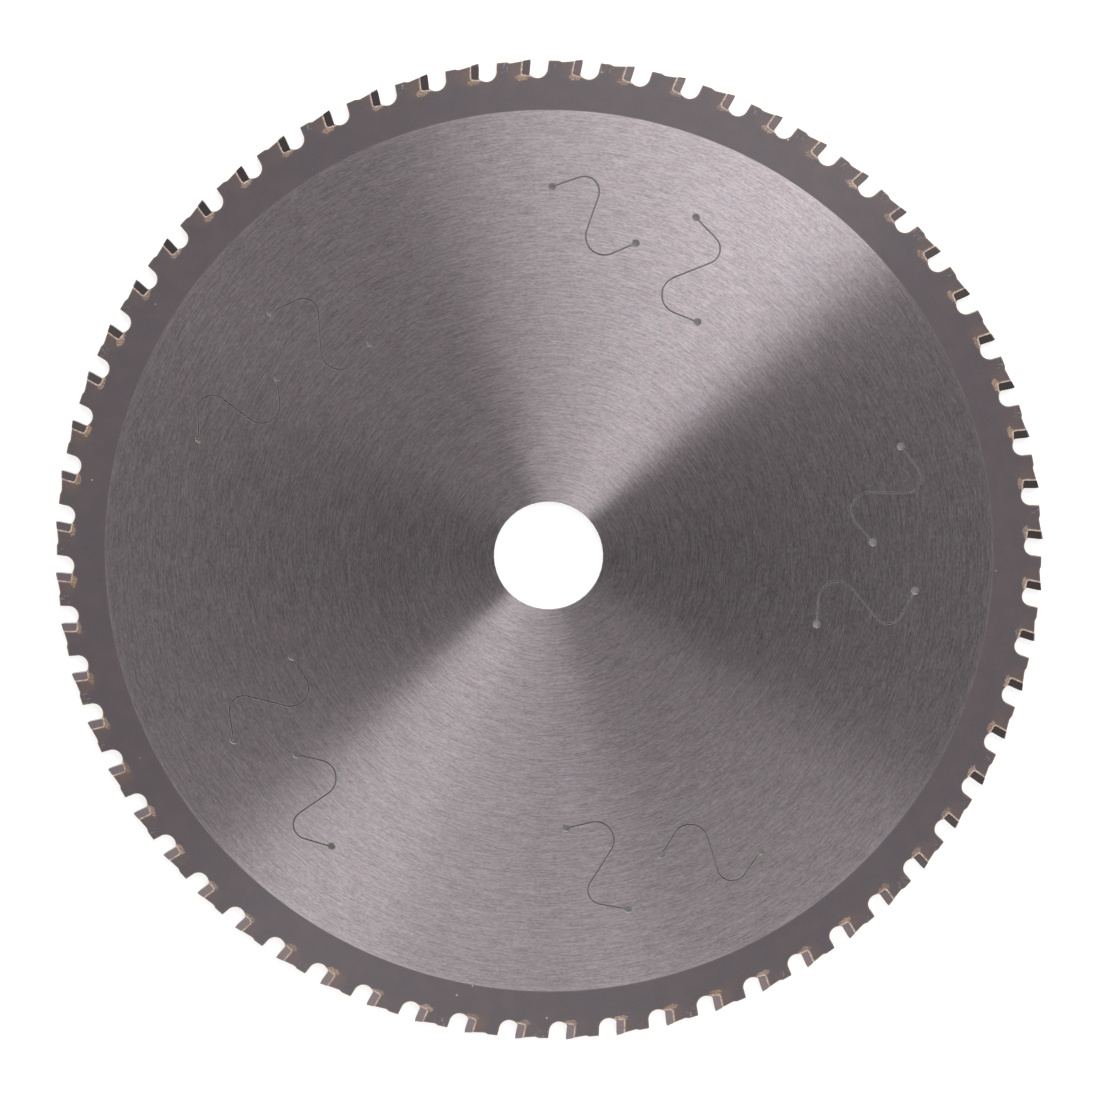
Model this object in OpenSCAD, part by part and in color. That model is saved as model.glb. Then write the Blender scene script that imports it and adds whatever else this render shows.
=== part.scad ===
// Circular saw blade with brazed carbide tips, lying flat.
// Origin at the centre of the bore on the blade's middle plane, +Z along the arbor.
// Seen from +Z the blade cuts clockwise, and the cutting edge of the first tooth lies on +X.
// Each tooth is drawn in its own frame: origin on the cutting edge, x ahead along the cut, y outward.

/* [Blade] */
// Diameter over the cutting edges
blade_d = 230; // [214:1:300]
// Diameter of the arbor bore
bore_d = 25.4; // [15:0.1:40]
// Thickness of the unground rim
rim_t = 1.7; // [1.4:0.05:3]
// Depth ground off each face inside the rim
grind_depth = 0.05; // [0.02:0.01:0.2]
// Width of the unground rim, in from the cutting edges
rim_band_w = 11.7; // [8:0.1:20]

/* [Teeth] */
// Number of teeth, with chamfered and flat tips in turn
tooth_count = 60; // [40:2:62]
// Depth of the gullets below the cutting edges
gullet_depth = 4.4; // [4.35:0.05:4.8]
// Radius of the gullet floor
gullet_r = 2.35; // [2.25:0.05:2.6]
// Distance of the gullet floor's centre ahead of the cutting edge
gullet_lead = 1.56; // [1.4:0.02:1.8]
// Lean of the gullet's far wall from the radius, in degrees
gullet_lean = 10; // [4:1:16]
// Drop of the chip limiter below the cutting edges
limiter_drop = 0.42; // [0.3:0.02:0.6]
// Distance from the cutting edge back to the foot of the limiter
back_len = 4.75; // [4:0.05:5.5]
// Slope from the relieved back up to the limiter, in degrees
limiter_slope = 20; // [12:1:40]
// Radius in the hollow between the back and the limiter
hollow_r = 1.5; // [0.5:0.1:2]
// Drop of the steel back below the top of the tip
back_drop = 0.13; // [0.05:0.01:0.2]

/* [Carbide tips] */
// Height of a tip along its front
tip_h = 3.7; // [3.3:0.05:3.7]
// Thickness of a tip from front to back
tip_t = 1.75; // [1.3:0.05:2]
// Overhang of a tip beyond each face of the rim
tip_overhang = 0.15; // [0.13:0.01:0.4]
// Hook angle of the front face, in degrees
hook_angle = 8; // [0:1:12]
// Height of the radial land along the cutting edge
land_h = 0.9; // [0.3:0.1:1.5]
// Clearance angle of the top, in degrees
top_clearance = 8.5; // [6:0.5:12]
// Clearance of the sides from the top down, in degrees
side_taper = 0.8; // [0.2:0.1:1]
// Clearance of the sides from the front back, in degrees
side_relief = 1.5; // [0.5:0.1:2]
// Radius of the lower back corner of a tip
tip_corner_r = 0.45; // [0.2:0.05:0.8]
// Drop of the flat tips below the chamfered ones
flat_drop = 0.08; // [0.02:0.01:0.2]
// Width of the corner chamfers on the chamfered tips
chamfer_w = 0.3; // [0.1:0.05:0.6]
// Angle of the corner chamfers, in degrees
chamfer_angle = 45; // [30:1:60]

/* [Braze] */
// Thickness of the braze between tip and seat
braze_gap = 0.32; // [0.1:0.02:0.34]
// Height of the braze above each face of the rim
braze_rise = 0.03; // [0.01:0.01:0.05]

/* [Expansion slots] */
// Number of slot pairs around the blade
slot_sets = 5; // [3:1:6]
// Distance of the outer end holes in from the cutting edges
slot_inset = 29.35; // [24:0.05:40]
// Diameter of the hole at each end of a slot
slot_hole_d = 1.75; // [1:0.05:3]
// Width of a slot
slot_w = 0.28; // [0.2:0.02:0.6]
// Straight run from the outer hole to the first bend
slot_run_in = 6.63; // [5:0.01:8]
// Radius of the first bend
slot_bend_1 = 3.49; // [2:0.01:4.5]
// Radius of the second bend
slot_bend_2 = 4.33; // [2:0.01:5]
// Straight run from the second bend to the inner hole
slot_run_out = 6.02; // [5:0.01:8]
// Leading slot: place of its outer hole round the blade, in degrees
lead_place = 87.4; // [80:0.05:95]
// Leading slot: heading at the outer hole, outward from the clockwise tangent, in degrees
lead_heading = 20.25; // [10:0.05:30]
// Leading slot: turn of the first bend, in degrees
lead_turn_1 = -129; // [-140:0.5:-100]
// Leading slot: straight run between the bends
lead_mid = 8.17; // [6:0.01:12]
// Leading slot: turn of the second bend, in degrees
lead_turn_2 = 132.55; // [100:0.05:150]
// Trailing slot: place of its outer hole round the blade, in degrees
trail_place = 64.55; // [58:0.05:70]
// Trailing slot: heading at the outer hole, outward from the clockwise tangent, in degrees
trail_heading = -22.35; // [-35:0.05:-10]
// Trailing slot: turn of the first bend, in degrees
trail_turn_1 = -112.55; // [-140:0.05:-100]
// Trailing slot: straight run between the bends
trail_mid = 9.16; // [6:0.01:12]
// Trailing slot: turn of the second bend, in degrees
trail_turn_2 = 136.15; // [100:0.05:150]

/* [Hidden] */
$fn = 96;
blade_r = blade_d / 2;
body_t = rim_t - 2 * grind_depth;
ground_r = blade_r - rim_band_w;
kerf_w = rim_t + 2 * tip_overhang;
braze_w = rim_t + 2 * braze_rise;
tooth_angle = 360 / tooth_count;
// The tip's front below its land, and the seat around the tip
face_h = tip_h - land_h;
seat_depth = face_h + braze_gap;
seat_back = tip_t + braze_gap;
seat_corner_r = tip_corner_r + braze_gap;
seat_lead = 1.6;
seat_top = land_h + 1;
// Shapes that cut reach this far past what they cut
past = 2;
// The far wall crosses the floor's circle this far inside it, so that the two meet in a clean edge
wall_bite = 0.02;
gullet_centre = [gullet_lead, gullet_r - gullet_depth];
corner_steps = 5;
bend_steps = 12;

// One node holds a chamfered tip and the flat tip ahead of it, one braze node the seams of two such pairs
tips_per_node = 2;
seams_per_node = 4;
tip_names = [for (i = [1 : ceil(tooth_count / tips_per_node)]) str("tip_pair_", i)];
braze_names = [for (i = [1 : ceil(tooth_count / seams_per_node)]) str("braze_seams_", i)];

// Points round a corner, from one angle to another
function corner(centre, r, from, to) =
    [for (k = [0 : corner_steps])
        let (a = from + (to - from) * k / corner_steps)
        centre + r * [cos(a), sin(a)]];

// A tip seen from the side, in the frame of its front face: origin at the foot of the land, y up the face
function tip_outline(drop) =
    let (edge = (land_h - drop) * [-sin(hook_angle), cos(hook_angle)])
    let (top_slope = tan(top_clearance + hook_angle))
    concat(
        [edge, [0, 0], [0, -face_h]],
        corner([tip_corner_r - tip_t, tip_corner_r - face_h], tip_corner_r, 270, 180),
        [[-tip_t, edge[1] - (tip_t + edge[0]) * top_slope]]
    );

// The seat that the tip and its braze fill, open at the top, in the same frame
function seat_outline() =
    concat(
        [[seat_lead, seat_top], [seat_lead, -seat_depth]],
        corner([seat_corner_r - seat_back, seat_corner_r - seat_depth], seat_corner_r, 270, 180),
        [[-seat_back, seat_top]]
    );

// One station further along a slot: place and heading after a straight run
function ahead(p, run) = [p[0] + run * cos(p[2]), p[1] + run * sin(p[2]), p[2]];

// Stations round a bend of a slot, to the left for a positive turn
function bend(p, r, turn) =
    [for (k = [0 : bend_steps])
        let (a = p[2] + turn * k / bend_steps)
        let (side = sign(turn) * r)
        [p[0] + side * (sin(a) - sin(p[2])), p[1] - side * (cos(a) - cos(p[2])), a]];

function last(list) = list[len(list) - 1];

// The middle line of a slot, from its outer hole to its inner one
function slot_line(place, heading, turn_1, mid, turn_2) =
    let (r = blade_r - slot_inset)
    let (start = [r * cos(place), r * sin(place), place - 90 + heading])
    let (first = bend(ahead(start, slot_run_in), slot_bend_1, turn_1))
    let (second = bend(ahead(last(first), mid), slot_bend_2, turn_2))
    concat([start], first, second, [ahead(last(second), slot_run_out)]);

// A point beside a station of a slot, to its left for a positive distance
function beside(p, d) = [p[0] - d * sin(p[2]), p[1] + d * cos(p[2])];

// Puts a shape into the frame of one tooth
module at_tooth(i) {
    rotate(i * tooth_angle - 90)
        translate([0, blade_r])
            children();
}

// Puts a shape into the frame of a tip's front face, from the frame of its tooth
module at_face() {
    translate([0, -land_h])
        rotate(-hook_angle)
            children();
}

module seat_shape() {
    at_face()
        polygon(seat_outline());
}

module gullet_shape() {
    reach = gullet_r - wall_bite;
    foot = gullet_centre + reach * [cos(gullet_lean), -sin(gullet_lean)];
    rise = past - foot[1];
    translate(gullet_centre)
        circle(r = gullet_r);
    polygon([
        [-tip_t / 2, gullet_centre[1]],
        foot,
        foot + [rise * tan(gullet_lean), rise],
        [-tip_t / 2, past]
    ]);
}

// What is relieved behind a tip, up to the slope of the limiter
module back_shape() {
    foot = [-back_len, -back_drop - back_len * tan(top_clearance)];
    open_angle = 180 - top_clearance - limiter_slope;
    reach = hollow_r / sin(open_angle / 2);
    middle = (180 - limiter_slope + top_clearance) / 2;
    hollow = foot + reach * [cos(middle), sin(middle)];
    rise = past - foot[1];
    polygon(concat(
        [foot + [-rise / tan(limiter_slope), rise]],
        corner(hollow, hollow_r, 270 - limiter_slope, 270 + top_clearance),
        [[0, -back_drop], [0, past]]
    ));
}

module slot_shape(line) {
    polygon(concat(
        [for (p = line) beside(p, slot_w / 2)],
        [for (i = [len(line) - 1 : -1 : 0]) beside(line[i], -slot_w / 2)]
    ));
    for (p = [line[0], last(line)])
        translate([p[0], p[1]])
            circle(d = slot_hole_d);
}

module plate_outline() {
    difference() {
        circle(r = blade_r - limiter_drop);
        circle(d = bore_d);
        for (i = [0 : tooth_count - 1])
            at_tooth(i) {
                gullet_shape();
                seat_shape();
                back_shape();
            }
        for (i = [0 : slot_sets - 1])
            rotate(i * 360 / slot_sets) {
                slot_shape(slot_line(lead_place, lead_heading, lead_turn_1, lead_mid, lead_turn_2));
                slot_shape(slot_line(trail_place, trail_heading, trail_turn_1, trail_mid, trail_turn_2));
            }
    }
}

// Steel body, thinner where both faces are ground
module plate() {
    color("slategray")
        difference() {
            linear_extrude(rim_t, center = true)
                plate_outline();
            for (side = [0, 1])
                mirror([0, 0, side])
                    translate([0, 0, body_t / 2])
                        cylinder(r = ground_r, h = past);
        }
}

// Half-space outside one face of a tip, tapering in below and behind the cutting edge
module tip_side() {
    size = 4 * tip_h;
    translate([0, 0, kerf_w / 2])
        rotate([side_taper, -side_relief, 0])
            translate([-size / 2, -size / 2, 0])
                cube(size);
}

// Half-space beyond the chamfer along one top corner of a tip
module tip_chamfer() {
    size = 4 * tip_h;
    rotate(top_clearance)
        translate([0, 0, kerf_w / 2 - chamfer_w])
            rotate([-chamfer_angle, 0, 0])
                translate([-size / 2, -size / 2, 0])
                    cube(size);
}

// A carbide tip in the frame of its tooth
module tip(chamfered) {
    difference() {
        at_face()
            linear_extrude(kerf_w + past, center = true)
                polygon(tip_outline(chamfered ? 0 : flat_drop));
        for (side = [0, 1])
            mirror([0, 0, side]) {
                tip_side();
                if (chamfered)
                    tip_chamfer();
            }
    }
}

// The braze behind and under a tip, hollowed in front by the gullet and level with the steel back
module braze_seam(chamfered) {
    linear_extrude(braze_w, center = true)
        difference() {
            seat_shape();
            at_face()
                polygon(tip_outline(chamfered ? 0 : flat_drop));
            gullet_shape();
            back_shape();
        }
}

// Every second tip is chamfered, from the first
function is_chamfered(i) = i % 2 == 0;

module tip_pair(n) {
    color("dimgray")
        for (i = [n * tips_per_node : min((n + 1) * tips_per_node, tooth_count) - 1])
            at_tooth(i)
                tip(is_chamfered(i));
}

module braze_seams(n) {
    color("tan")
        for (i = [n * seams_per_node : min((n + 1) * seams_per_node, tooth_count) - 1])
            at_tooth(i)
                braze_seam(is_chamfered(i));
}

plate();
for (n = [0 : len(tip_names) - 1])
    tip_pair(n);
for (n = [0 : len(braze_names) - 1])
    braze_seams(n);
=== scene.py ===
from math import pi, radians

import bpy
from mathutils import Matrix, Vector


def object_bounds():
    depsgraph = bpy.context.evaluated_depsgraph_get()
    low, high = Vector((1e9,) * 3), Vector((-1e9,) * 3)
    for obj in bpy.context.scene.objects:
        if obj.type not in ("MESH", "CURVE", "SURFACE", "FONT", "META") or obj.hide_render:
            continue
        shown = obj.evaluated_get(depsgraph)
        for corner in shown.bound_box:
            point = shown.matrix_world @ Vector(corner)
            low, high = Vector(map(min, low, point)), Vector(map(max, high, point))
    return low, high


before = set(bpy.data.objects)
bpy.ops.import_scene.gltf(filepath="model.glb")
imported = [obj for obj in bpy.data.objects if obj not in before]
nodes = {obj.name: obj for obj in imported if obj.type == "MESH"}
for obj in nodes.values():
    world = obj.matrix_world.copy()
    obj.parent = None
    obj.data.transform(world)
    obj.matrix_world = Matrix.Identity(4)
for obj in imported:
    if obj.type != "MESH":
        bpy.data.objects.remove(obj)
cad_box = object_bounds()
bpy.ops.object.select_all(action="DESELECT")

# Plate: the blade's body, laser-cut from one sheet of tool steel with its bore, gullets, tip seats and
# expansion slots. Inside the rim both faces are ground thinner on a turning table, which leaves a mark that
# runs round the bore. The rim keeps the dull skin of the hardened sheet, stained by flux around each tip.
mm = 0.001
blade_r = cad_box[1].x
rim_w = 11.7 * mm
ground_r = blade_r - rim_w
step_w = 0.03 * mm
teeth = 60
tooth_pitch = 2 * pi / teeth


def linear(colour):
    """An sRGB hex colour as linear RGBA."""
    parts = [int(colour[i : i + 2], 16) / 255 for i in (1, 3, 5)]
    return [p / 12.92 if p <= 0.04045 else ((p + 0.055) / 1.055) ** 2.4 for p in parts] + [1]


def add(tree, kind, inputs=None, **settings):
    """Adds a node with its settings, links or fills its inputs, and returns its outputs."""
    node = tree.nodes.new("ShaderNode" + kind)
    for name, value in settings.items():
        setattr(node, name, value)
    for socket, value in (inputs or {}).items():
        if isinstance(value, bpy.types.NodeSocket):
            tree.links.new(value, node.inputs[socket])
        else:
            node.inputs[socket].default_value = value
    return node.outputs


def blank_material(name):
    """A new material with an empty node tree."""
    material = bpy.data.materials.new(name)
    material.use_nodes = True
    material.node_tree.nodes.clear()
    return material


def blade_polar(tree):
    """Object coordinates, the distance from the arbor and the unit vector that points away from it."""
    place = add(tree, "TexCoord")["Object"]
    across = add(tree, "VectorMath", {0: place, 1: (1, 1, 0)}, operation="MULTIPLY")[0]
    radius = add(tree, "VectorMath", {0: across}, operation="LENGTH")["Value"]
    spoke = add(tree, "VectorMath", {0: across}, operation="NORMALIZE")[0]
    return place, radius, spoke


plate_steel = blank_material("ground_and_hardened_steel")
steel = plate_steel.node_tree
place, radius, spoke = blade_polar(steel)
normal_z = add(steel, "SeparateXYZ", {0: add(steel, "NewGeometry")["True Normal"]})["Z"]
upright = add(steel, "Math", {0: normal_z}, operation="ABSOLUTE")[0]
is_face = add(steel, "Math", {0: upright, 1: 0.5}, operation="GREATER_THAN")[0]
is_ground = add(steel, "MapRange", {"Value": radius, "From Min": ground_r - step_w,
                                    "From Max": ground_r + step_w, "To Min": 1, "To Max": 0})[0]

# The grinding marks are short and long flecks that lie round the bore, so light spreads only along the spokes
# and the lamp shows as two opposite fans. The real marks are finer than a pixel and are drawn 0.3 mm wide.
fleck_w = 0.3 * mm
fleck_lengths = (0.9 * mm, 4.5 * mm)
fleck_rise = add(steel, "Math", {0: radius, 1: 1 / fleck_w}, operation="MULTIPLY")[0]
fleck_lift = add(steel, "CombineXYZ", {"Z": fleck_rise})[0]
fleck_layers = []
for fleck_l in fleck_lengths:
    fleck_place = add(steel, "VectorMath", {0: place, 1: (1 / fleck_l, 1 / fleck_l, 0), 2: fleck_lift},
                      operation="MULTIPLY_ADD")[0]
    fleck_noise = {"Vector": fleck_place, "Scale": 1, "Detail": 2, "Roughness": 0.6}
    fleck_layers.append(add(steel, "TexNoise", fleck_noise)["Fac"])
flecks = add(steel, "Mix", {0: 0.5, 2: fleck_layers[0], 3: fleck_layers[1]})[0]
fleck_mix = add(steel, "MapRange", {"Value": flecks, "From Min": 0.35, "From Max": 0.65})[0]

# The pale flecks have a faint warm blush in places, and the face is a little darker towards the bore.
blush_w = 1.8 * mm
blush = add(steel, "TexNoise", {"Vector": place, "Scale": 1 / blush_w, "Detail": 1})["Fac"]
blush_mix = add(steel, "MapRange", {"Value": blush, "From Min": 0.3, "From Max": 0.7})[0]
ground_light = add(steel, "Mix", {0: blush_mix, 6: linear("#b0aaae"), 7: linear("#b6a9ac")},
                   data_type="RGBA")[2]
ground_colour = add(steel, "Mix", {0: fleck_mix, 6: linear("#8b8386"), 7: ground_light}, data_type="RGBA")[2]
inner_shade = add(steel, "MapRange", {"Value": radius, "From Min": 0.35 * blade_r, "From Max": 0.8 * blade_r,
                                      "To Min": 0.9, "To Max": 1})[0]
ground_colour = add(steel, "VectorMath", {0: ground_colour, "Scale": inner_shade}, operation="SCALE")[0]

# A narrow paler ring is painted just inside the step: a painted highlight where the step catches the light.
step_highlight_w = 1.4 * mm
painted_step_highlight = add(steel, "MapRange", {"Value": radius, "From Min": ground_r - step_highlight_w, "From Max": ground_r,
                               "To Max": 0.14})[0]
ground_colour = add(steel, "Mix", {0: painted_step_highlight, 6: ground_colour, 7: linear("#c9c6cc")}, data_type="RGBA")[2]

# A few dark specks are left in the ground face.
speck_gap = 13 * mm
speck_r = 0.3 * mm
speck_cells = add(steel, "TexVoronoi", {"Vector": place, "Scale": 1 / speck_gap})
speck_near = add(steel, "MapRange", {"Value": speck_cells["Distance"], "From Min": speck_r / speck_gap,
                                     "From Max": 0.5 * speck_r / speck_gap})[0]
speck_pick = add(steel, "SeparateColor", {0: speck_cells["Color"]})[0]
speck_here = add(steel, "Math", {0: speck_pick, 1: 0.8}, operation="GREATER_THAN")[0]
specks = add(steel, "Math", {0: speck_near, 1: speck_here}, operation="MULTIPLY")[0]
ground_colour = add(steel, "Mix", {0: specks, 6: ground_colour, 7: linear("#4a3c3c")}, data_type="RGBA")[2]

# The hardened skin of the rim is a brown-grey scale, finely mottled and a little cloudy.
grit_w = 0.3 * mm
cloud_w = 4.5 * mm
grit = add(steel, "TexNoise", {"Vector": place, "Scale": 1 / grit_w, "Detail": 3})["Fac"]
clouds = add(steel, "TexNoise", {"Vector": place, "Scale": 1 / cloud_w, "Detail": 2})["Fac"]
grit_mix = add(steel, "MapRange", {"Value": grit, "From Min": 0.2, "From Max": 0.8})[0]
cloud_mix = add(steel, "MapRange", {"Value": clouds, "From Min": 0.35, "From Max": 0.7, "To Max": 0.8})[0]
skin_colour = add(steel, "Mix", {0: grit_mix, 6: linear("#585256"), 7: linear("#686266")},
                  data_type="RGBA")[2]
skin_colour = add(steel, "Mix", {0: cloud_mix, 6: skin_colour, 7: linear("#685d5f")}, data_type="RGBA")[2]

# Small chips in the skin show as scattered pale specks.
chip_gap = 4.2 * mm
chip_r = 0.3 * mm
chip_cells = add(steel, "TexVoronoi", {"Vector": place, "Scale": 1 / chip_gap})
chip_near = add(steel, "MapRange", {"Value": chip_cells["Distance"], "From Min": chip_r / chip_gap,
                                    "From Max": 0.3 * chip_r / chip_gap})[0]
chip_pick = add(steel, "SeparateColor", {0: chip_cells["Color"]})[0]
chip_here = add(steel, "MapRange", {"Value": chip_pick, "From Min": 0.62, "From Max": 0.9})[0]
chips = add(steel, "Math", {0: chip_near, 1: chip_here}, operation="MULTIPLY")[0]
skin_colour = add(steel, "Mix", {0: chips, 6: skin_colour, 7: linear("#c8bcb0")}, data_type="RGBA")[2]

# Where a point lies on its tooth: how far behind the cutting edge and how far below the tip circle.
tooth_lead = 0.1
axes = add(steel, "SeparateXYZ", {0: place})
angle = add(steel, "Math", {0: axes["Y"], 1: axes["X"]}, operation="ARCTAN2")[0]
turn = add(steel, "Math", {0: angle, 1: 1 / tooth_pitch, 2: tooth_lead}, operation="MULTIPLY_ADD")[0]
tooth = add(steel, "Math", {0: turn}, operation="FLOOR")[0]
share = add(steel, "Math", {0: turn, 1: tooth}, operation="SUBTRACT")[0]
share = add(steel, "Math", {0: share, 1: tooth_lead}, operation="SUBTRACT")[0]
arc = add(steel, "Math", {0: radius, 1: tooth_pitch}, operation="MULTIPLY")[0]
behind = add(steel, "Math", {0: share, 1: arc}, operation="MULTIPLY")[0]
below = add(steel, "Math", {0: blade_r, 1: radius}, operation="SUBTRACT")[0]
tooth_place = add(steel, "CombineXYZ", {"X": behind, "Y": below})[0]
luck_colour = add(steel, "TexWhiteNoise", {"W": tooth}, noise_dimensions="1D")["Color"]
luck = add(steel, "SeparateColor", {0: luck_colour})

# Brazing heat browned the skin behind each tip, more at some teeth than at others.
tint_middle = (3.0 * mm, 2.8 * mm, 0)
tint_r = 3.2 * mm
tint_core_r = 0.8 * mm
tint_offset = add(steel, "VectorMath", {0: tooth_place, 1: tint_middle}, operation="SUBTRACT")[0]
tint_reach = add(steel, "VectorMath", {0: tint_offset}, operation="LENGTH")["Value"]
tint_fade = add(steel, "MapRange", {"Value": tint_reach, "From Min": tint_r, "From Max": tint_core_r},
                interpolation_type="SMOOTHSTEP")[0]
tint_depth = add(steel, "MapRange", {"Value": luck[1], "To Min": 0.15, "To Max": 0.95})[0]
tint = add(steel, "Math", {0: tint_fade, 1: grit_mix}, operation="MULTIPLY")[0]
tint = add(steel, "Math", {0: tint, 1: tint_depth}, operation="MULTIPLY")[0]
skin_colour = add(steel, "Mix", {0: tint, 6: skin_colour, 7: linear("#7d675f")}, data_type="RGBA")[2]

# Some teeth were scuffed behind the tip, which left pale strokes that run in from the back.
scuff_w = 0.4 * mm
scuff_l = 1.1 * mm
scuff_middle = (6.4 * mm, 1.6 * mm, 0)
scuff_half_x = 2.4 * mm
scuff_half_y = 1.4 * mm
scuff_place = add(steel, "VectorMath", {0: tooth_place, 1: (1 / scuff_w, 1 / scuff_l, 0)},
                  operation="MULTIPLY")[0]
scuff_place = add(steel, "VectorMath", {0: scuff_place, 1: luck_colour}, operation="ADD")[0]
strokes = add(steel, "TexNoise", {"Vector": scuff_place, "Scale": 1, "Detail": 2})["Fac"]
strokes = add(steel, "MapRange", {"Value": strokes, "From Min": 0.54, "From Max": 0.68})[0]
scuff_offset = add(steel, "VectorMath", {0: tooth_place, 1: scuff_middle}, operation="SUBTRACT")[0]
scuff_offset = add(steel, "VectorMath", {0: scuff_offset, 1: (1 / scuff_half_x, 1 / scuff_half_y, 0)},
                   operation="MULTIPLY")[0]
scuff_reach = add(steel, "VectorMath", {0: scuff_offset}, operation="LENGTH")["Value"]
scuff_area = add(steel, "MapRange", {"Value": scuff_reach, "From Min": 1, "From Max": 0.5})[0]
scuff_depth = add(steel, "MapRange", {"Value": luck[0], "From Min": 0.25, "From Max": 1, "To Max": 0.75})[0]
scuffs = add(steel, "Math", {0: strokes, 1: scuff_area}, operation="MULTIPLY")[0]
scuffs = add(steel, "Math", {0: scuffs, 1: scuff_depth}, operation="MULTIPLY")[0]
skin_colour = add(steel, "Mix", {0: scuffs, 6: skin_colour, 7: linear("#aca4a0")}, data_type="RGBA")[2]

# Flux and filler ran out round the foot of the tips: a speckled tan film, different at each tooth.
wander_w = 1.2 * mm
patch_w = 0.3 * mm
film_drift = 0.8 * mm
film_half_x = 1.6 * mm
film_half_y = 0.8 * mm
wander = add(steel, "TexNoise", {"Vector": place, "Scale": 1 / wander_w, "Detail": 1})["Color"]
wander = add(steel, "VectorMath", {0: wander, 1: (0.5, 0.5, 0.5)}, operation="SUBTRACT")[0]
film_place = add(steel, "VectorMath", {0: wander, 1: (film_drift, film_drift, 0), 2: tooth_place},
                 operation="MULTIPLY_ADD")[0]
film_x = add(steel, "MapRange", {"Value": luck[0], "To Min": 1.2 * mm, "To Max": 2.2 * mm})[0]
film_y = add(steel, "MapRange", {"Value": luck[1], "To Min": 3.85 * mm, "To Max": 4.15 * mm})[0]
film_middle = add(steel, "CombineXYZ", {"X": film_x, "Y": film_y})[0]
film_offset = add(steel, "VectorMath", {0: film_place, 1: film_middle}, operation="SUBTRACT")[0]
film_offset = add(steel, "VectorMath", {0: film_offset, 1: (1 / film_half_x, 1 / film_half_y, 0)},
                  operation="MULTIPLY")[0]
film_reach = add(steel, "VectorMath", {0: film_offset}, operation="LENGTH")["Value"]
film_cover = add(steel, "MapRange", {"Value": film_reach, "From Min": 1.25, "From Max": 0.3})[0]
patches = add(steel, "TexNoise", {"Vector": place, "Scale": 1 / patch_w, "Detail": 3})["Fac"]
film_depth = add(steel, "Math", {0: patches, 1: 1.1, 2: film_cover}, operation="MULTIPLY_ADD")[0]
film_edge = add(steel, "MapRange", {"Value": film_depth, "From Min": 0.78, "From Max": 1.08},
                interpolation_type="SMOOTHSTEP")[0]
film_strength = add(steel, "MapRange", {"Value": luck[2], "To Min": 0.3, "To Max": 0.85})[0]
film = add(steel, "Math", {0: film_edge, 1: film_strength}, operation="MULTIPLY")[0]
film_mix = add(steel, "MapRange", {"Value": patches, "From Min": 0.4, "From Max": 0.66})[0]
film_light = add(steel, "Mix", {0: luck[1], 6: linear("#d2bdb0"), 7: linear("#d0aa84")}, data_type="RGBA")[2]
film_colour = add(steel, "Mix", {0: film_mix, 6: linear("#86726a"), 7: film_light}, data_type="RGBA")[2]
skin_colour = add(steel, "Mix", {0: film, 6: skin_colour, 7: film_colour}, data_type="RGBA")[2]

# The laser burnt a thin tan line along the edges of the rim. Along the slots a dull grey lip is painted, part
# burr and part a painted highlight where the cut edges catch the light.
edge_w = 0.45 * mm
edge_normal = add(steel, "Bevel", {"Radius": edge_w}, samples=2)[0]
edge_lean = add(steel, "SeparateXYZ", {0: edge_normal})["Z"]
edge_lean = add(steel, "Math", {0: edge_lean}, operation="ABSOLUTE")[0]
edge = add(steel, "MapRange", {"Value": edge_lean, "From Min": 0.998, "From Max": 0.9, "To Max": 0.85})[0]
# The slot lip: a less glossy grey that works as a painted highlight along the slot edges.
burr_and_edge_highlight = add(steel, "MapRange", {"Value": edge_lean, "From Min": 0.975, "From Max": 0.6, "To Max": 0.9})[0]
skin_colour = add(steel, "Mix", {0: edge, 6: skin_colour, 7: linear("#bd9878")}, data_type="RGBA")[2]
ground_colour = add(steel, "Mix", {0: burr_and_edge_highlight, 6: ground_colour, 7: linear("#8a8886")}, data_type="RGBA")[2]

# The walls that the laser cut are ribbed across the sheet: tan round the teeth and grey in the bore. The slot
# walls are painted pale, a painted light for the light that falls into the slots and bounces between them.
bore_r = 12.7 * mm
rib_w = 0.15 * mm
rib_place = add(steel, "VectorMath", {0: place, 1: (1 / rib_w, 1 / rib_w, 0.1 / rib_w)},
                operation="MULTIPLY")[0]
ribs = add(steel, "TexNoise", {"Vector": rib_place, "Scale": 1, "Detail": 1})["Fac"]
tan_wall = add(steel, "Mix", {0: ribs, 6: linear("#8a7565"), 7: linear("#c0a893")}, data_type="RGBA")[2]
slot_wall_painted_light = add(steel, "Mix", {0: ribs, 6: linear("#b9b6b2"), 7: linear("#e0ddd9")}, data_type="RGBA")[2]
is_bore = add(steel, "Math", {0: radius, 1: 1.1 * bore_r}, operation="LESS_THAN")[0]
cut_colour = add(steel, "Mix", {0: is_ground, 6: tan_wall, 7: slot_wall_painted_light}, data_type="RGBA")[2]
cut_colour = add(steel, "Mix", {0: is_bore, 6: cut_colour, 7: linear("#8f8d8a")}, data_type="RGBA")[2]

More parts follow.
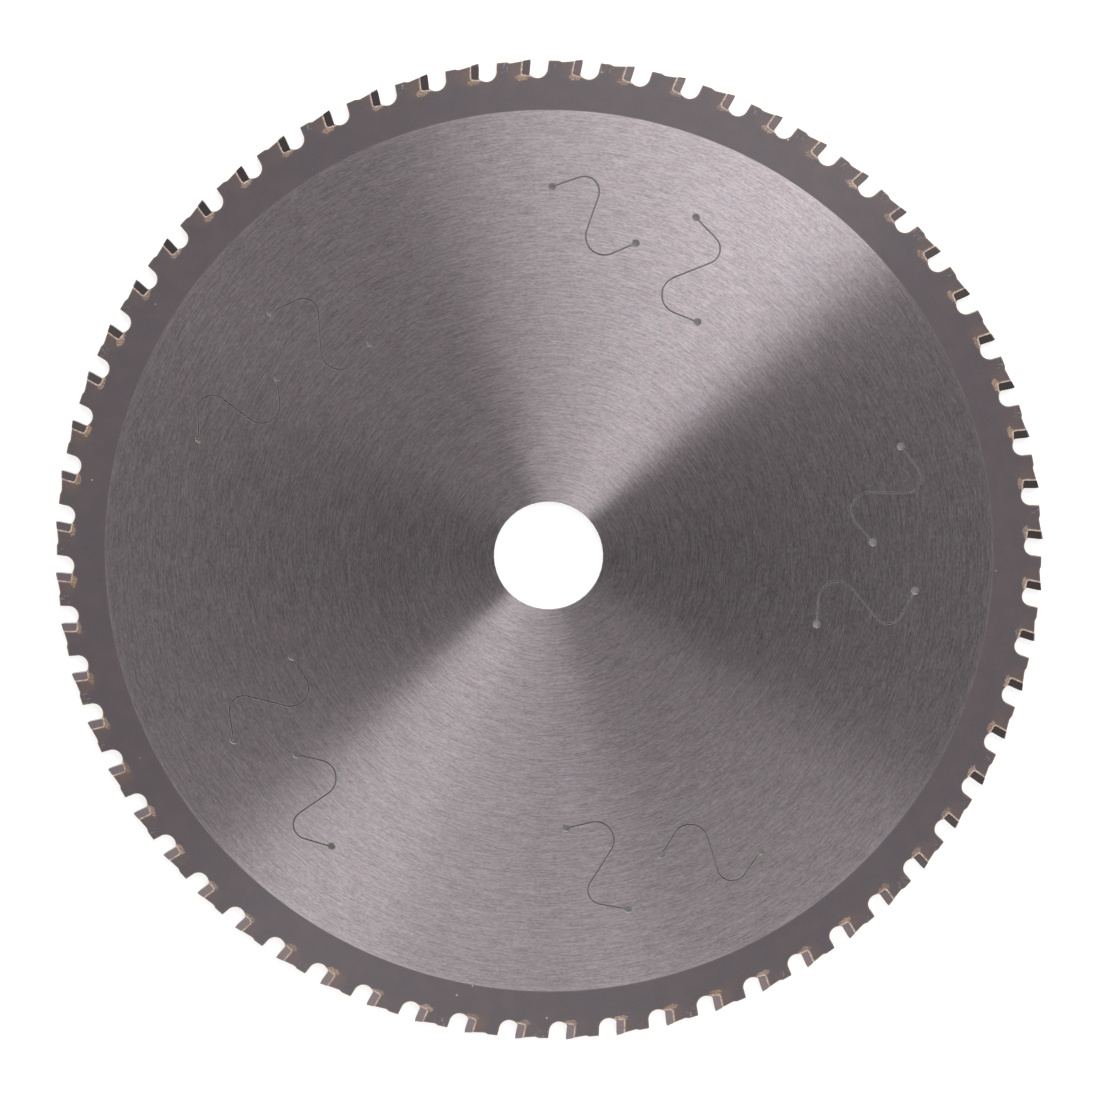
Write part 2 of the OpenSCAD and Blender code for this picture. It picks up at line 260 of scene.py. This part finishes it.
# The ground face is bare metal. The rest is a dull skin that shows its own colour more than the lamps.
face_colour = add(steel, "Mix", {0: is_ground, 6: skin_colour, 7: ground_colour}, data_type="RGBA")[2]
plate_colour = add(steel, "Mix", {0: is_face, 6: cut_colour, 7: face_colour}, data_type="RGBA")[2]
on_ground = add(steel, "Math", {0: is_ground, 1: is_face}, operation="MULTIPLY")[0]
lip_gloss = add(steel, "Math", {0: 1, 1: burr_and_edge_highlight}, operation="SUBTRACT")[0]
on_ground = add(steel, "Math", {0: on_ground, 1: lip_gloss}, operation="MULTIPLY")[0]
ground_metal = add(steel, "MapRange", {"Value": radius, "From Min": 0.4 * ground_r, "From Max": ground_r,
                                       "To Min": 1, "To Max": 0.945})[0]
ground_metal = add(steel, "Math", {0: fleck_mix, 1: -0.07, 2: ground_metal}, operation="MULTIPLY_ADD")[0]
plate_metal = add(steel, "MapRange", {"Value": on_ground, "To Min": 0.15, "To Max": ground_metal})[0]
plate_rough = add(steel, "MapRange", {"Value": on_ground, "To Min": 0.6, "To Max": 0.34})[0]
relief = add(steel, "Mix", {0: is_ground, 2: grit, 3: flecks})[0]
plate_bump = add(steel, "Bump", {"Height": relief, "Strength": 0.25, "Distance": 0.02 * mm})[0]
plate_shader = add(steel, "BsdfPrincipled", {"Base Color": plate_colour, "Metallic": plate_metal,
                                             "Roughness": plate_rough, "Normal": plate_bump,
                                             "Anisotropic": 1, "Tangent": spoke})
add(steel, "OutputMaterial", {"Surface": plate_shader[0]})
nodes["plate"].data.materials[0] = plate_steel

# Carbide tips: sintered tungsten carbide, pressed and ground on a diamond wheel, set in the seats of the
# rim. The sides are smooth enough to be nearly black where they face no lamp.
carbide = blank_material("ground_tungsten_carbide")
tree = carbide.node_tree
place = add(tree, "TexCoord")["Object"]
grain_w = 0.25 * mm
grain = add(tree, "TexNoise", {"Vector": place, "Scale": 1 / grain_w, "Detail": 3})["Fac"]
grain_mix = add(tree, "MapRange", {"Value": grain, "From Min": 0.25, "From Max": 0.75})[0]
tip_colour = add(tree, "Mix", {0: grain_mix, 6: linear("#7b6f71"), 7: linear("#887c7e")}, data_type="RGBA")[2]
tip_rough = add(tree, "MapRange", {"Value": grain, "To Min": 0.12, "To Max": 0.17})[0]
tip_bump = add(tree, "Bump", {"Height": grain, "Strength": 0.1, "Distance": 0.01 * mm})[0]
tip_shader = add(tree, "BsdfPrincipled", {"Base Color": tip_colour, "Metallic": 1, "Roughness": tip_rough,
                                          "Normal": tip_bump})
add(tree, "OutputMaterial", {"Surface": tip_shader[0]})

# Braze seams: silver-brazing alloy that was melted into the gap behind and under each tip. It is a pale
# yellow metal, cooled to a slightly uneven skin.
braze = blank_material("silver_brazing_alloy")
tree = braze.node_tree
place = add(tree, "TexCoord")["Object"]
pool_w = 0.5 * mm
pools = add(tree, "TexNoise", {"Vector": place, "Scale": 1 / pool_w, "Detail": 3})["Fac"]
pool_mix = add(tree, "MapRange", {"Value": pools, "From Min": 0.3, "From Max": 0.7})[0]
seam_colour = add(tree, "Mix", {0: pool_mix, 6: linear("#9a8378"), 7: linear("#e6d6ca")}, data_type="RGBA")[2]
seam_bump = add(tree, "Bump", {"Height": pools, "Strength": 0.3, "Distance": 0.05 * mm})[0]
seam_shader = add(tree, "BsdfPrincipled", {"Base Color": seam_colour, "Metallic": 0.3, "Roughness": 0.45,
                                           "Normal": seam_bump})
add(tree, "OutputMaterial", {"Surface": seam_shader[0]})

for name, node in nodes.items():
    if name.startswith("tip_pair"):
        node.data.materials[0] = carbide
    elif name.startswith("braze_seams"):
        node.data.materials[0] = braze

# Floor: a wide sheet of pale card that the blade lies on. It keeps the blade's shadow, and light of its own,
# for the camera and for reflections, brings the open card up to white. Under the plate that light is turned
# down to a dim painted light, graded into a painted shade that is deeper on the side away from the softbox,
# so that the slots and their end holes look down into shade.
floor_w = 40
gullet_floor_r = 110.6 * mm
hidden = 3 * mm
shade_reach = 80 * mm
open_glow = 0.8
deep_glow = 0.035
near_glow = 0.112
bpy.ops.mesh.primitive_plane_add(size=floor_w, location=(0, 0, cad_box[0].z))
floor = bpy.context.object
floor.name = "floor"
bpy.ops.object.transform_apply(location=True, rotation=True, scale=True)
card = blank_material("pale_card")
tree = card.node_tree
place, radius = blade_polar(tree)[:2]
outside = add(tree, "Math", {0: radius, 1: gullet_floor_r - hidden}, operation="GREATER_THAN")[0]
inside = add(tree, "Math", {0: radius, 1: bore_r + hidden}, operation="LESS_THAN")[0]
open_card = add(tree, "Math", {0: outside, 1: inside}, operation="MAXIMUM")[0]
path = add(tree, "LightPath")
mirrored = add(tree, "Math", {0: path["Is Camera Ray"], 1: path["Is Glossy Ray"]}, operation="MAXIMUM")[0]
shown = add(tree, "Math", {0: mirrored, 1: path["Is Transmission Ray"]}, operation="MAXIMUM")[0]
shade_side = add(tree, "SeparateXYZ", {0: place})["X"]
# Painted shade under the plate: the glow falls from the softbox side to the far side.
shade_glow = add(tree, "MapRange", {"Value": shade_side, "From Min": -shade_reach, "From Max": shade_reach,
                                    "To Min": deep_glow, "To Max": near_glow})[0]
glow = add(tree, "MapRange", {"Value": open_card, "To Min": shade_glow, "To Max": open_glow})[0]
glow = add(tree, "Math", {0: glow, 1: shown}, operation="MULTIPLY")[0]
card_shader = add(tree, "BsdfPrincipled", {"Base Color": linear("#a4a29d"), "Roughness": 0.9,
                                           "Specular IOR Level": 0, "Emission Color": linear("#ffffff"),
                                           "Emission Strength": glow})
add(tree, "OutputMaterial", {"Surface": card_shader[0]})
floor.data.materials.append(card)

# Lamps: a softbox hung level over the blade, with one edge in line with the bore, which makes one side of
# each fan sharp. Dim panels, which show in the polished tips, hang beside the camera and towards the bottom
# of the picture. Three white cards stand by the blade and lean over it, and the room is a dim grey.
view_turn = radians(2.06)
level = radians(90)
card_lean = radians(20)


def panel(name, azimuth, out, aside, up, lean, width, length, radiance):
    """An area lamp, placed by its azimuth in the picture and its distances from the arbor."""
    turn = radians(azimuth) - view_turn
    lamp = bpy.data.lights.new(name, "AREA")
    lamp.shape = "RECTANGLE"
    lamp.size = width
    lamp.size_y = length
    lamp.energy = radiance * pi * width * length
    stand = bpy.data.objects.new(name, lamp)
    stand.location = Matrix.Rotation(turn, 4, "Z") @ Vector((out, aside, up))
    stand.rotation_euler = (level - lean, 0, turn + pi / 2)
    bpy.context.scene.collection.objects.link(stand)


panel("softbox", 35.6, out=1.03, aside=1.12, up=0.914, lean=level, width=2.24, length=1.225, radiance=5.85)
panel("camera_panel", 90, out=0.15, aside=-0.02, up=1.06, lean=level, width=0.2, length=0.18, radiance=1.2)
panel("low_panel", 263, out=0.305, aside=0.065, up=1, lean=level, width=0.37, length=0.23, radiance=0.97)
panel("low_panel_end", 263, out=0.305, aside=-0.185, up=1, lean=level, width=0.13, length=0.23, radiance=0.5)
panel("right_card", 297, out=0.273, aside=0, up=0.122, lean=card_lean, width=0.23, length=0.26, radiance=1.1)
panel("left_card", 182, out=0.16, aside=0, up=0.15, lean=card_lean, width=0.25, length=0.2, radiance=0.19)
panel("far_card", 240, out=0.72, aside=0, up=0.317, lean=card_lean, width=0.24, length=0.3, radiance=4)

room_grey = 0.222
world = bpy.data.worlds.new("grey_room")
bpy.context.scene.world = world
world.use_nodes = True
world.node_tree.nodes.clear()
room = add(world.node_tree, "Background", {"Color": (room_grey, room_grey, room_grey, 1), "Strength": 1})
add(world.node_tree, "OutputWorld", {"Surface": room[0]})

# Camera: it looks down on the blade from nearly above, leaning towards the top of the picture, and the
# blade lies turned a little under it.
lean = Vector((0.0113, 0.1184, 1)).normalized()
reach = 1.0068
focal_px = 4326
picture_px = 1100
sensor_w = 36
aim = Vector((0.35 * mm, 1.38 * mm, 0.8 * mm))
upwards = Vector((0, 1, 0))
right = upwards.cross(lean).normalized()
upwards = lean.cross(right)
turned = Matrix.Rotation(-view_turn, 4, "Z")
pose = Matrix((right, upwards, lean)).transposed().to_4x4()
pose.translation = aim + lean * reach
camera = bpy.data.objects.new("camera", bpy.data.cameras.new("camera"))
camera.data.sensor_width = sensor_w
camera.data.lens = sensor_w * focal_px / picture_px
camera.matrix_world = turned @ pose
bpy.context.scene.collection.objects.link(camera)
bpy.context.scene.camera = camera
bpy.context.scene.view_settings.view_transform = "Standard"
